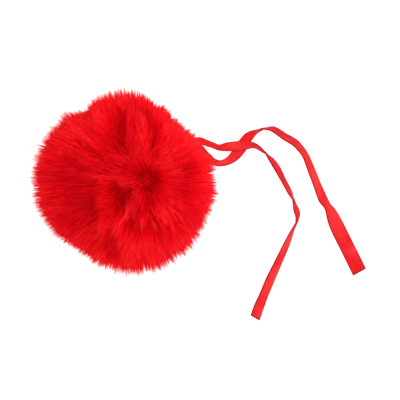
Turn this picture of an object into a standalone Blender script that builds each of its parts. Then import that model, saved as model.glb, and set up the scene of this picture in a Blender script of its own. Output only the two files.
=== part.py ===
"""Fur pom pom on a ribbon tie, lying on a flat surface.

Three solids: the ball, a gathered pelt with its fur standing out in locks, and the two tails of the ribbon
that it hangs by. Metres, +Z up. The origin is on the surface, under the middle of the ball.
"""

import math
import random
from typing import NamedTuple

import bmesh
import bpy
from mathutils import Matrix, Vector

MM = 0.001
UP = Vector((0.0, 0.0, 1.0))

# The ball
BALL_RADIUS = 43.8 * MM     # middle of the ball to the tips of its fur
PELT_RADIUS = 29.0 * MM     # middle of the ball to the roots: the gathered pelt and its packed underfur
BALL_HEIGHT = 40.0 * MM     # middle of the ball above the surface, so the fur beneath is pressed short
MIDDLE = UP * BALL_HEIGHT
LOCK_ROWS = 7               # the pelt is a cube blown up to a ball, with this many rows of locks on each side
PELT_TURN = 24.0            # degrees that the rows of locks are turned about the upright
ROOT_GAP = 0.5 * MM         # half the space between the roots of two neighbours
UNEVEN_ROOT = 0.95 * MM     # how far the corner of a root strays from its row
UNEVEN_LENGTH = 0.05        # share by which one lock is longer or shorter than the next
UNEVEN_LEAN = 0.10          # share of its length by which a lock strays sideways
SWEEP = 0.20                # share of its length by which a lock's tip is combed away from the crown
SWEPT_DOWN_TO = -0.35       # height on a ball of radius 1 below which the fur isn't combed
CROWN = Vector((0.10, 0.10, 1.0)).normalized()
SEED = 41

# The fur beneath the ball
STANDING = 1.2 * MM         # a lock whose tip would come lower than this rests on the surface
STRAIGHT_DOWN = 0.08        # the one lock with a flat foot points this near to straight down, on a ball of radius 1
FOOT_GIRTH = 1.15           # share of the width of its root
TOE_LENGTH = 6.0 * MM       # of the locks round it, which bend outwards and lie level on the surface
TOE_TILT = math.radians(60.0)
TOE_FLATNESS = 0.55

# The ribbon
RIBBON_WIDTH = 7.0 * MM
RIBBON_THICKNESS = 1.0 * MM
RIBBON_STEP = 2.3 * MM      # length of one straight piece of a tail
FINE_STEPS = 24             # points taken between two stations to measure the run of a tail
SLOT = 1.1 * MM             # space kept between the fur and the ribbon
SLOT_STEPS = 20             # a lock beside the ribbon is cut back in steps of its length
SHORTEST_LOCK = 0.30        # a lock that the ribbon leaves less of than this share is left out
HIDDEN_SECTIONS = 14        # sections of each tail, from its root, that can lie among the fur

FUR_RED = (0.700, 0.007, 0.014)
RIBBON_RED = (0.800, 0.035, 0.035)


class LockSection(NamedTuple):
    """One cross-section of a lock of fur."""

    reach: float    # share of the lock's length
    girth: float    # share of the width of its root


LOCK = (
    LockSection(reach=0.34, girth=1.16),
    LockSection(reach=0.72, girth=1.00),
)
STANDING_BELLY = LockSection(reach=0.45, girth=1.08)


class Hollow(NamedTuple):
    """A side of the ball where the fur is pressed in."""

    azimuth: float  # degrees, counter-clockwise from +X
    depth: float    # share of the ball's radius
    spread: float   # degrees


HOLLOWS = (
    Hollow(azimuth=48, depth=0.085, spread=15),
    Hollow(azimuth=120, depth=0.045, spread=9),
    Hollow(azimuth=234, depth=0.080, spread=20),
)


class Parting(NamedTuple):
    """A place on the top of the ball, seen from above, where the fur parts and lies deeper. Millimetres."""

    x: float
    y: float
    spread: float
    depth: float    # share of the lock's length


PARTINGS = (
    Parting(x=10.0, y=1.5, spread=5.0, depth=0.40),
    Parting(x=-1.0, y=-6.0, spread=4.0, depth=0.22),
    Parting(x=-1.0, y=17.0, spread=4.0, depth=0.26),
    Parting(x=-3.0, y=33.0, spread=4.0, depth=0.26),
    Parting(x=13.5, y=27.0, spread=4.0, depth=0.22),
    Parting(x=5.0, y=-18.0, spread=4.0, depth=0.24),
    Parting(x=-7.0, y=-30.0, spread=5.0, depth=0.28),
)


class Station(NamedTuple):
    """A place that a tail of the ribbon passes, on its way from the ball to its free end."""

    x: float        # millimetres
    y: float        # millimetres
    turn: float     # degrees that the ribbon is rolled about its run: 0 lies flat, 90 stands on its edge
    lift: float     # millimetres from the surface to the ribbon's lower edge


# Passes over the other tail, turns on its edge, folds over sharply and runs back under the ball's right side.
TAIL_INNER = (
    Station(23.0, 12.6, 62, 23.3),
    Station(29.6, 17.0, 64, 17.2),
    Station(35.4, 20.2, 66, 11.6),
    Station(41.9, 18.6, 67, 8.4),
    Station(48.6, 17.4, 60, 6.9),
    Station(54.5, 17.9, 50, 6.2),
    Station(59.6, 18.2, 55, 4.2),
    Station(64.4, 17.5, 71, 1.8),
    Station(68.3, 15.2, 86, 0.3),
    Station(71.7, 11.5, 104, 0.0),
    Station(74.6, 7.5, 114, 0.0),
    Station(78.2, 1.3, 114, 0.0),
    Station(81.7, -5.8, 106, 0.0),
    Station(83.3, -9.3, 88, 0.0),
    Station(84.9, -13.8, 67, 0.0),
    Station(85.4, -17.3, 76, 0.0),
    Station(84.6, -20.8, 93, 0.0),
    Station(82.2, -25.8, 107, 0.0),
    Station(79.1, -32.3, 116, 0.0),
    Station(75.4, -40.3, 124, 0.0),
    Station(71.6, -48.5, 128, 0.0),
    Station(68.3, -56.0, 130, 0.0),
    Station(65.9, -61.6, 138, 0.0),
    Station(63.7, -67.5, 138, 0.0),
)

# Passes under, stands on its edge over the hump to the right, pinches and falls flat for its last stretch.
TAIL_OUTER = (
    Station(24.7, 11.1, 62, 23.7),
    Station(30.8, 14.6, 62, 17.0),
    Station(35.6, 16.6, 60, 10.4),
    Station(39.0, 13.6, 58, 5.2),
    Station(42.3, 10.7, 61, 2.0),
    Station(46.2, 9.4, 66, 0.3),
    Station(50.6, 10.4, 62, 0.0),
    Station(54.4, 13.9, 44, 0.0),
    Station(57.4, 18.0, 41, 0.0),
    Station(60.9, 22.5, 56, 0.0),
    Station(64.5, 25.1, 73, 0.0),
    Station(68.7, 26.9, 94, 0.0),
    Station(73.4, 26.4, 109, 0.0),
    Station(78.8, 22.7, 117, 0.0),
    Station(84.7, 18.7, 124, 0.0),
    Station(88.8, 13.5, 126, 0.0),
    Station(92.0, 6.2, 126, 0.0),
    Station(95.2, -1.4, 129, 0.0),
    Station(97.9, -8.1, 128, 0.0),
    Station(99.9, -12.0, 117, 0.0),
    Station(102.0, -15.2, 130, 0.0),
    Station(104.2, -19.3, 150, 0.0),
    Station(107.2, -25.6, 172, 0.0),
    Station(111.0, -33.9, 180, 0.0),
    Station(116.3, -45.0, 180, 0.0),
)


def clear_scene():
    """Take away whatever the file already holds."""
    for old in list(bpy.data.objects):
        bpy.data.objects.remove(old, do_unlink=True)


def make_material(name, colour, roughness):
    """A plain dyed finish."""
    material = bpy.data.materials.new(name)
    material.use_nodes = True
    shader = next(node for node in material.node_tree.nodes if node.type == "BSDF_PRINCIPLED")
    shader.inputs["Base Color"].default_value = (*colour, 1.0)
    shader.inputs["Roughness"].default_value = roughness
    shader.inputs["Metallic"].default_value = 0.0
    material.diffuse_color = (*colour, 1.0)
    return material


def make_object(name, bm, material, collection):
    """Turn a bmesh into a named object of the part."""
    mesh = bpy.data.meshes.new(name)
    bm.to_mesh(mesh)
    bm.free()
    mesh.materials.append(material)
    made = bpy.data.objects.new(name, mesh)
    collection.objects.link(made)
    return made


def grow(bm, face, corners):
    """Extrude a four-sided face to new corners, given in the order of its own, and return the new face."""
    tip = bmesh.ops.extrude_discrete_faces(bm, faces=[face])["faces"][0]
    for vert, place in zip(tip.verts, corners):
        vert.co = place
    return tip


# The ribbon's tails

def smooth(route, piece, share):
    """A point of the smooth curve through the route's stations, a share of the way along one of its pieces."""
    last = len(route) - 1
    before, start, end, after = (
        Vector(route[min(max(piece + k, 0), last)]) for k in (-1, 0, 1, 2))
    return 0.5 * (
        2.0 * start
        + (end - before) * share
        + (2.0 * before - 5.0 * start + 4.0 * end - after) * share ** 2
        + (3.0 * start - before - 3.0 * end + after) * share ** 3)


def even_stations(route):
    """The route's smooth curve, as stations one ribbon step apart."""
    fine = [smooth(route, piece, k / FINE_STEPS) for piece in range(len(route) - 1) for k in range(FINE_STEPS)]
    fine.append(Vector(route[-1]))
    run = [0.0]
    for here, there in zip(fine, fine[1:]):
        run.append(run[-1] + math.dist((here[0], here[1], here[3]), (there[0], there[1], there[3])) * MM)
    count = round(run[-1] / RIBBON_STEP)
    picked, at = [], 0
    for k in range(count + 1):
        while at < len(run) - 2 and run[at + 1] < run[-1] * k / count:
            at += 1
        share = (run[-1] * k / count - run[at]) / (run[at + 1] - run[at])
        x, y, turn, lift = fine[at].lerp(fine[at + 1], min(max(share, 0.0), 1.0))
        picked.append(Station(x, y, min(turn, 180.0), max(lift, 0.0)))
    return picked


def tail_sections(route):
    """The four corners of the ribbon at each of its stations, with the lowest at the station's lift."""
    half_width = 0.5 * RIBBON_WIDTH
    half_thickness = 0.5 * RIBBON_THICKNESS
    stations = even_stations(route)
    middles = []
    for station in stations:
        turn = math.radians(station.turn)
        rise = half_width * math.sin(turn) + half_thickness * abs(math.cos(turn))
        middles.append(Vector((station.x, station.y, station.lift)) * MM + UP * rise)
    sections = []
    for k, station in enumerate(stations):
        run = (middles[min(k + 1, len(middles) - 1)] - middles[max(k - 1, 0)]).normalized()
        left = UP.cross(run).normalized()
        turn = math.radians(station.turn)
        across = left * math.cos(turn) + run.cross(left) * math.sin(turn)
        through = run.cross(across)
        corners = [
            middles[k] + across * half_width * a + through * half_thickness * t
            for a, t in ((-1, -1), (1, -1), (1, 1), (-1, 1))]
        drop = station.lift * MM - min(corner.z for corner in corners)
        sections.append([corner + UP * drop for corner in corners])
    return sections


def make_tail(name, route, material, collection):
    """One tail of the ribbon, a strip grown from section to section."""
    sections = tail_sections(route)
    bm = bmesh.new()
    bmesh.ops.create_cube(bm, size=1.0)
    corner_of = {(False, False): 0, (True, False): 1, (True, True): 2, (False, True): 3}
    order = {vert: corner_of[(vert.co.y > 0.0, vert.co.z > 0.0)] for vert in bm.verts}
    front = next(face for face in bm.faces if face.normal.x > 0.9)
    front_order = [order[vert] for vert in front.verts]
    for vert in bm.verts:
        vert.co = sections[1 if vert in front.verts[:] else 0][order[vert]]
    for corners in sections[2:]:
        front = grow(bm, front, [corners[corner] for corner in front_order])
    return make_object(name, bm, material, collection)


# The ball

def pressed_reach(direction):
    """Distance from the middle of the ball to the tips of its fur, that way."""
    azimuth = math.degrees(math.atan2(direction.y, direction.x))
    level = 1.0 - direction.z ** 2
    reach = BALL_RADIUS
    for hollow in HOLLOWS:
        off = (azimuth - hollow.azimuth + 180.0) % 360.0 - 180.0
        reach -= BALL_RADIUS * hollow.depth * level * math.exp(-(off / hollow.spread) ** 2)
    return reach


def parted_share(tip, way):
    """Share of its full length that a lock keeps where the fur on top of the ball parts."""
    share = 1.0
    for parting in PARTINGS:
        off = math.dist((tip.x, tip.y), (parting.x * MM, parting.y * MM)) / (parting.spread * MM)
        share -= parting.depth * max(way.z, 0.0) * math.exp(-off ** 2)
    return share


class Lock:
    """A lock of fur: its root on the pelt, and the way it grows."""

    def __init__(self, root_face, dice):
        self.root = root_face.calc_center_median()
        self.corners = [vert.co - self.root for vert in root_face.verts]
        self.way = (self.root - MIDDLE).normalized()
        reach = pressed_reach(self.way) * (1.0 + UNEVEN_LENGTH * dice.uniform(-1.0, 1.0))
        self.length = (reach - PELT_RADIUS) * parted_share(self.way * reach, self.way)
        combed = self.way - CROWN * self.way.dot(CROWN)
        stray = Vector(dice.uniform(-1.0, 1.0) for _ in range(3))
        self.lean = combed * SWEEP * max(self.way.z - SWEPT_DOWN_TO, 0.0)
        self.lean += (stray - self.way * stray.dot(self.way)) * UNEVEN_LEAN

    def place(self, reach):
        """A point on the lock's own line, that share of its length from the root."""
        return self.root + self.length * (self.way * reach + self.lean * reach ** 2)

    def ring(self, section):
        """The lock's corners at one cross-section."""
        return [self.place(section.reach) + corner * section.girth for corner in self.corners]

    def rests(self):
        """Whether the lock reaches the surface below."""
        return self.place(1.0).z < STANDING

    def points_straight_down(self):
        """Whether this is the lock under the very middle of the ball."""
        return self.rests() and math.hypot(self.way.x, self.way.y) < STRAIGHT_DOWN

    def underfoot(self):
        """The place on the surface that the lock points at."""
        return MIDDLE + self.way * (BALL_HEIGHT / -self.way.z)

    def foot(self):
        """The corners of a level foot on the surface."""
        below = self.underfoot()
        return [Vector((below.x + c.x * FOOT_GIRTH, below.y + c.y * FOOT_GIRTH, 0.0)) for c in self.corners]

    def toe(self):
        """The corners where the lock bends over on the surface, and the tip that it lies level to."""
        outward = Vector((self.way.x, self.way.y, 0.0)).normalized()
        sideways = UP.cross(outward)
        ankle = self.underfoot()
        ahead = [corner.dot(outward) for corner in self.corners]
        corners = [
            ankle + sideways * corner.dot(sideways) + outward * far * math.cos(TOE_TILT)
            + UP * (far - min(ahead)) * math.sin(TOE_TILT) * TOE_FLATNESS
            for corner, far in zip(self.corners, ahead)]
        return corners, ankle + outward * TOE_LENGTH

    def make_room(self, ribbon_points):
        """Cut the lock back to where it stays clear of the ribbon, and say what share of it is left."""
        girth = max(corner.length for corner in self.corners) * LOCK[0].girth
        for step in range(1, SLOT_STEPS + 1):
            place = self.place(step / SLOT_STEPS)
            if min((place - point).length for point in ribbon_points) < girth + SLOT:
                share = (step - 1) / SLOT_STEPS
                self.length *= share
                return share
        return 1.0


def make_pelt(bm, dice):
    """The gathered pelt with a slightly uneven root for each lock, and return the faces the locks grow from."""
    bmesh.ops.create_cube(bm, size=2.0)
    bmesh.ops.subdivide_edges(bm, edges=bm.edges[:], cuts=LOCK_ROWS - 1, use_grid_fill=True)
    turn = Matrix.Rotation(math.radians(PELT_TURN), 3, UP)
    for vert in bm.verts:
        even = turn @ Vector(math.tan(side * math.pi / 4.0) for side in vert.co)
        stray = Vector(dice.uniform(-1.0, 1.0) for _ in range(3)) * UNEVEN_ROOT
        vert.co = MIDDLE + (even.normalized() * PELT_RADIUS + stray).normalized() * PELT_RADIUS
    roots = bm.faces[:]
    bmesh.ops.inset_individual(bm, faces=roots, thickness=ROOT_GAP, use_even_offset=True)
    return roots


def grow_lock(bm, face, lock, ribbon_points):
    """One lock of fur on its root: free, bent over on the surface, or with a flat foot there."""
    if lock.points_straight_down():
        belly = grow(bm, face, lock.ring(STANDING_BELLY))
        grow(bm, belly, lock.foot())
        return
    if lock.rests():
        belly = grow(bm, face, lock.ring(STANDING_BELLY))
        corners, end = lock.toe()
        last = grow(bm, belly, corners)
    elif lock.make_room(ribbon_points) < SHORTEST_LOCK:
        return
    else:
        last, end = face, lock.place(1.0)
        for section in LOCK:
            last = grow(bm, last, lock.ring(section))
    tip = bmesh.ops.poke(bm, faces=[last])["verts"][0]
    tip.co = end


def make_ball(material, collection, ribbon_points):
    """The gathered pelt, with its fur grown out of it lock by lock."""
    dice = random.Random(SEED)
    bm = bmesh.new()
    for face in make_pelt(bm, dice):
        grow_lock(bm, face, Lock(face, dice), ribbon_points)
    bmesh.ops.recalc_face_normals(bm, faces=bm.faces[:])
    return make_object("fur_ball", bm, material, collection)


def points_across(route):
    """Points spread over the stretch of a tail that lies among the fur."""
    points = []
    for first, second, third, fourth in tail_sections(route)[:HIDDEN_SECTIONS]:
        low, high = first.lerp(fourth, 0.5), second.lerp(third, 0.5)
        points.extend(low.lerp(high, share) for share in (0.0, 0.25, 0.5, 0.75, 1.0))
    return points


def main():
    """Build the pom pom."""
    clear_scene()
    collection = bpy.data.collections.new("pom_pom")
    bpy.context.scene.collection.children.link(collection)
    fur = make_material("dyed_fur", FUR_RED, 0.85)
    ribbon = make_material("dyed_ribbon", RIBBON_RED, 0.45)
    make_ball(fur, collection, points_across(TAIL_INNER) + points_across(TAIL_OUTER))
    make_tail("tail_inner", TAIL_INNER, ribbon, collection)
    make_tail("tail_outer", TAIL_OUTER, ribbon, collection)


main()
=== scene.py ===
"""Looks of a fur pom pom on a ribbon tie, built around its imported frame.

The ball is dyed fur: a gathered pelt with woolly underfur, out of which Geometry Nodes grow the guard hair
in locks and tufts. The tie is two tails of woven ribbon with firm edges and sealed ends. Metres, +Z up. The
tables of places are in millimetres and degrees, as a maker would measure them.
"""

import logging
import math
from dataclasses import dataclass, field
from enum import Enum
from typing import Callable, NamedTuple, Sequence, Union

import bpy
import numpy as np
from bpy.types import ID, Material, Mesh, Modifier, Node, NodeSocket, NodeTree, Object
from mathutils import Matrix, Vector


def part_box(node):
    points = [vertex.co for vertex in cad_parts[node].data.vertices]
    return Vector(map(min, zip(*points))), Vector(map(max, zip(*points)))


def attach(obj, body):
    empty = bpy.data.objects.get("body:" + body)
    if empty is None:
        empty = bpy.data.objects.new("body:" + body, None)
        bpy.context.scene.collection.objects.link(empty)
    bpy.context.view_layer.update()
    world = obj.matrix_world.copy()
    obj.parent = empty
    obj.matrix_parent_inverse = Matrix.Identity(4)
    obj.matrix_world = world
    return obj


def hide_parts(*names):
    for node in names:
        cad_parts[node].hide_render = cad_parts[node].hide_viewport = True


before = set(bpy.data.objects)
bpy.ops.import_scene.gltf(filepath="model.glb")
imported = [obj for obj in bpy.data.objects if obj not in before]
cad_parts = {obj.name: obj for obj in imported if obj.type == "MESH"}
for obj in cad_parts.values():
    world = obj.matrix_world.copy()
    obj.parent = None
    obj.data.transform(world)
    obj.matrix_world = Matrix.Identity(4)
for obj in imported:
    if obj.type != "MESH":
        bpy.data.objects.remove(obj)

log = logging.getLogger("pom_pom")
MM = 0.001
REACH_SHARE = 0.49  # of the solid ball's width: from its middle to its longest locks
REACH_MORE = 0.3 * MM  # how much further its hair reaches
UP = Vector((0.0, 0.0, 1.0))
BAKE_MAP = "OFBake"  # the map that the finishes read their patterns from
Colour = tuple[float, float, float]
Span = tuple[float, float]


# Nodes


def operator(operation: str, reflected: bool = False) -> Callable[["Wire", "Value"], "Wire"]:
    """Make one of a wire's operators.

    Args:
        operation: what its Math or Vector Math node does.
        reflected: whether the other value comes first.

    Returns:
        The method.
    """
    def method(self: "Wire", other: "Value") -> "Wire":
        """Put the node on the wire's board; a vector times a number is scaled."""
        return self.board.maths(operation, *((other, self) if reflected else (self, other)))

    return method


class Wire:
    """The output of a node. Python's operators on it put the maths nodes on its board."""

    __add__, __radd__ = operator("ADD"), operator("ADD", reflected=True)
    __sub__, __rsub__ = operator("SUBTRACT"), operator("SUBTRACT", reflected=True)
    __mul__, __rmul__ = operator("MULTIPLY"), operator("MULTIPLY", reflected=True)
    __pow__, __rpow__ = operator("POWER"), operator("POWER", reflected=True)

    def __init__(self, board: "Board", socket: NodeSocket) -> None:
        """Keep the board, and the socket on it that the wire leaves from."""
        self.board = board
        self.socket = socket


Value = Union[Wire, float, int, bool, str, Sequence[float], ID]


class Board:
    """One node tree, and the ways in which nodes are put on it."""

    def __init__(self, tree: NodeTree) -> None:
        """Take the tree of a material, a world or a modifier, and empty it."""
        self.tree = tree
        self.tree.nodes.clear()

    def node(self, kind: str, ends: dict[str | int, Value] | None = None, **settings: object) -> Node:
        """Put one node on the board.

        Args:
            kind: the node's type.
            ends: for each input, by name or number, a wire or a plain value. A colour is opaque.
            settings: the node's own properties, which are set first.

        Returns:
            The new node.
        """
        made = self.tree.nodes.new(kind)
        for name, value in settings.items():
            setattr(made, name, value)
        for name, value in (ends or {}).items():
            socket = made.inputs[name] if isinstance(name, int) else next(
                s for s in made.inputs if s.enabled and s.name == name)
            if isinstance(value, Wire):
                self.tree.links.new(value.socket, socket)
            else:
                socket.default_value = (*value, 1.0) if socket.type == "RGBA" else value
        return made

    def wire(self, kind: str, ends: dict[str | int, Value] | None = None, output: str | None = None,
             **settings: object) -> Wire:
        """Put one node on the board, and take a wire from this output or else from the first in use."""
        made = self.node(kind, ends, **settings)
        return Wire(self, next(s for s in made.outputs if s.enabled and output in (None, s.name)))

    def maths(self, operation: str, *values: Value) -> Wire:
        """Work out numbers or vectors.

        Args:
            operation: the operation of a Math or Vector Math node.
            values: what it works on, in the order of its inputs.

        Returns:
            The result.
        """
        vectors = [value for value in values if self.is_vector(value)]
        if not vectors:
            return self.wire("ShaderNodeMath", dict(enumerate(values)), operation=operation)
        if operation == "MULTIPLY" and len(vectors) == 1:
            number = next(value for value in values if value is not vectors[0])
            return self.dim(vectors[0], number)
        return self.wire("ShaderNodeVectorMath", dict(enumerate(values)), operation=operation)

    def is_vector(self, value: Value) -> bool:
        """Whether a value is a vector and not a number."""
        return value.socket.type == "VECTOR" if isinstance(value, Wire) else hasattr(value, "__len__")

    def axis(self, vector: Wire, name: str) -> Wire:
        """One of a vector's three numbers: X, Y or Z."""
        return self.wire("ShaderNodeSeparateXYZ", {"Vector": vector}, name)

    def dim(self, colour: Value, light: Value) -> Wire:
        """A colour or a vector times a number."""
        return self.wire("ShaderNodeVectorMath", {0: colour, "Scale": light}, operation="SCALE")

    def mix(self, share: Value, first: Value, second: Value, kind: str = "FLOAT") -> Wire:
        """Blend two numbers, vectors or colours: the first where the share is 0, the second where it is 1."""
        return self.wire("ShaderNodeMix", {"Factor": share, "A": first, "B": second}, data_type=kind)

    def step(self, value: Wire, low: float, high: float) -> Wire:
        """A soft step: 0 where the value is low or less, 1 where it is high or more."""
        return self.wire("ShaderNodeMapRange", {"Value": value, "From Min": low, "From Max": high},
                         interpolation_type="SMOOTHSTEP")


class Draw(Enum):
    """What is drawn at random in the fur: its seed, its least and its most."""

    LOCK_LENGTH = (3, -0.05, 0.06)  # of the fur's length there
    LOCK_SHADE = (4, -1.0, 1.0)
    TUFT_LENGTH = (5, -0.12, 0.14)
    TUFT_WAY = (6, -1.0, 1.0)
    TUFT_SHADE = (7, -1.0, 1.0)
    TUFT_SPIKE = (8, 0.0, 1.0)
    STRAY = (11, 0.0, 1.0)
    HAIR_HOLD = (12, 0.8, 1.08)
    HAIR_LENGTH = (13, -0.06, 0.04)
    HAIR_WAY = (14, -1.0, 1.0)
    HAIR_THINNING = (15, 0.0, 1.0)
    HAIR_TURN = (16, -1.25, 1.25)  # radians about its own run
    HAIR_REST = (17, 0.2 * MM, 2.6 * MM)  # how high it keeps over the surface
    HAIR_SHADE = (18, -0.10, 0.10)


class GrowingBoard(Board):
    """A Geometry Nodes tree with named inputs."""

    def __init__(self, name: str, inputs: dict[str, str]) -> None:
        """Start a tree.

        Args:
            name: the tree's name.
            inputs: each input's name, and its kind of socket without the word NodeSocket.
        """
        super().__init__(bpy.data.node_groups.new(name, "GeometryNodeTree"))
        for label, kind in inputs.items():
            self.tree.interface.new_socket(name=label, in_out="INPUT", socket_type="NodeSocket" + kind)
        self.tree.interface.new_socket(name="Grown", in_out="OUTPUT", socket_type="NodeSocketGeometry")
        start = self.tree.nodes.new("NodeGroupInput")
        self.inputs = {label: Wire(self, start.outputs[label]) for label in inputs}

    def read(self, name: str, kind: str = "FLOAT_VECTOR") -> Wire:
        """A named attribute of whatever geometry it is read on."""
        return self.wire("GeometryNodeInputNamedAttribute", {"Name": name}, data_type=kind)

    def number(self, name: str) -> Wire:
        """A named attribute that holds one number."""
        return self.read(name, "FLOAT")

    def store(self, geometry: Wire, values: dict[str, Value], kind: str | None = None,
              domain: str = "POINT") -> Wire:
        """Write named attributes.

        Args:
            geometry: what they are written on.
            values: each attribute's name, and its value for each element.
            kind: their data type, or None for vectors and plain numbers.
            domain: the elements that hold them.

        Returns:
            The geometry with the attributes.
        """
        for name, value in values.items():
            plain = "FLOAT_VECTOR" if self.is_vector(value) else "FLOAT"
            ends = {"Geometry": geometry, "Name": name, "Value": value}
            geometry = self.wire("GeometryNodeStoreNamedAttribute", ends,
                                 data_type=kind or plain, domain=domain)
        return geometry

    def chance(self, draw: Draw, every_way: bool = False) -> Wire:
        """Draw a number for each element.

        Args:
            draw: what is drawn.
            every_way: whether it is drawn as a vector, each of its numbers by itself.

        Returns:
            The number or vector.
        """
        seed, low, high = draw.value
        if every_way:
            low, high = (low,) * 3, (high,) * 3
        return self.wire("FunctionNodeRandomValue", {"Min": low, "Max": high, "Seed": seed},
                         data_type="FLOAT_VECTOR" if every_way else "FLOAT")

    def take(self, geometry: Wire, name: str, index: Wire, kind: str = "FLOAT_VECTOR") -> Wire:
        """A named attribute, as the point with this index has it on another geometry."""
        ends = {"Geometry": geometry, "Value": self.read(name, kind), "Index": index}
        return self.wire("GeometryNodeSampleIndex", ends, data_type=kind)

    def finish(self, geometry: Wire) -> NodeTree:
        """Wire the result to the tree's output.

        Args:
            geometry: the result.

        Returns:
            The tree.
        """
        end = self.tree.nodes.new("NodeGroupOutput")
        self.tree.links.new(geometry.socket, end.inputs[0])
        return self.tree


# Finishes


@dataclass(frozen=True)
class FurDyeAndPaintedLight:
    """Guard hair, dyed through: deep at its root, partly from the dye and partly painted shade, clear red,
    paler near its tip, and dark at its point. The paler tips of lighter hair are painted light, and so is its
    glow.

    The colour follows the piece's own map, where each hair has a column of its own: its shade runs across the
    map, and the hair runs up it from root to tip. That shade holds painted light and shade as well as each
    hair's own tone.
    """

    # deep is partly the dye's and partly painted shade, deep in the fur where the roots lie
    deep: Colour = (0.80, 0.0003, 0.0035)
    body: Colour = (0.95, 0.0008, 0.0080)
    tip_dark: Colour = (0.98, 0.0030, 0.0150)
    tip: Colour = (0.98, 0.0340, 0.0420)
    point: Colour = (0.30, 0.0045, 0.0065)
    body_from: Span = (0.25, 0.72)  # where along a hair its body's colour takes over from the root's
    tip_from: Span = (0.70, 0.94)
    point_from: Span = (0.88, 1.0)
    pale_from: Span = (0.65, 1.0)  # painted light: the shades whose tips are pale
    # how dark and how light a hair's shade makes it; that shade holds painted light and shade
    darkest: float = 0.36
    lightest: float = 1.0
    roughness: float = 0.62
    gloss: float = 0.03
    glow: float = 0.08  # painted light: an emission that stands in for light coming through the hair from behind

    def material(self) -> Material:
        """Mix the finish.

        Returns:
            The material.
        """
        material, board = start_material("dyed_fur", self.body)
        place = board.wire("ShaderNodeUVMap", uv_map=BAKE_MAP)
        shade, along = board.axis(place, "X"), board.axis(place, "Y")
        # partly the dye and partly painted shade at the root
        red = board.mix(board.step(along, *self.body_from), self.deep, self.body, "RGBA")
        # painted light: paler tips on lighter hair
        tip = board.mix(board.step(shade, *self.pale_from), self.tip_dark, self.tip, "RGBA")
        red = board.mix(board.step(along, *self.tip_from), red, tip, "RGBA")
        red = board.mix(board.step(along, *self.point_from), red, self.point, "RGBA")
        red = board.dim(red, board.mix(shade, self.darkest, self.lightest))
        # painted light: the hair glows in its own colour
        finish_material(board, {
            "Base Color": red, "Roughness": self.roughness, "Specular IOR Level": self.gloss,
            "Emission Color": red, "Emission Strength": self.glow})
        return material


@dataclass(frozen=True)
class UnderfurDyeAndPaintedLight:
    """The short woolly underfur, seen only where the guard hair parts."""

    # deep is painted shade in the wool's hollows, lit is painted light on its raised wool
    deep: Colour = (0.40, 0.0002, 0.0012)
    lit: Colour = (0.75, 0.0010, 0.0050)
    lit_from: Span = (0.35, 0.65)  # how raised its wool is where it has painted light; lower down it has painted shade
    wool: float = 900.0  # how fine its wool is, to the metre
    raised: float = 0.6 * MM
    bump: float = 0.6
    roughness: float = 0.9
    gloss: float = 0.02

    def material(self) -> Material:
        """Mix the finish.

        Returns:
            The material.
        """
        material, board = start_material("woolly_underfur", self.lit)
        place = board.wire("ShaderNodeTexCoord", output="Object")
        fluff = board.wire("ShaderNodeTexNoise", {"Vector": place, "Scale": self.wool, "Detail": 3.0})
        # painted light on the raised wool, painted shade in its hollows
        red = board.mix(board.step(fluff, *self.lit_from), self.deep, self.lit, "RGBA")
        bumped = board.wire("ShaderNodeBump", {
            "Strength": self.bump, "Distance": self.raised, "Height": fluff})
        finish_material(board, {"Base Color": red, "Roughness": self.roughness,
                                "Specular IOR Level": self.gloss, "Normal": bumped})
        return material


class Tone(NamedTuple):
    """Painted light or shade on the ribbon at one place along a tail."""

    along: float  # millimetres from where the tail starts in the ball
    light: float  # 1 is the dye's own lightness; more is painted light, less is painted shade


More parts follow.
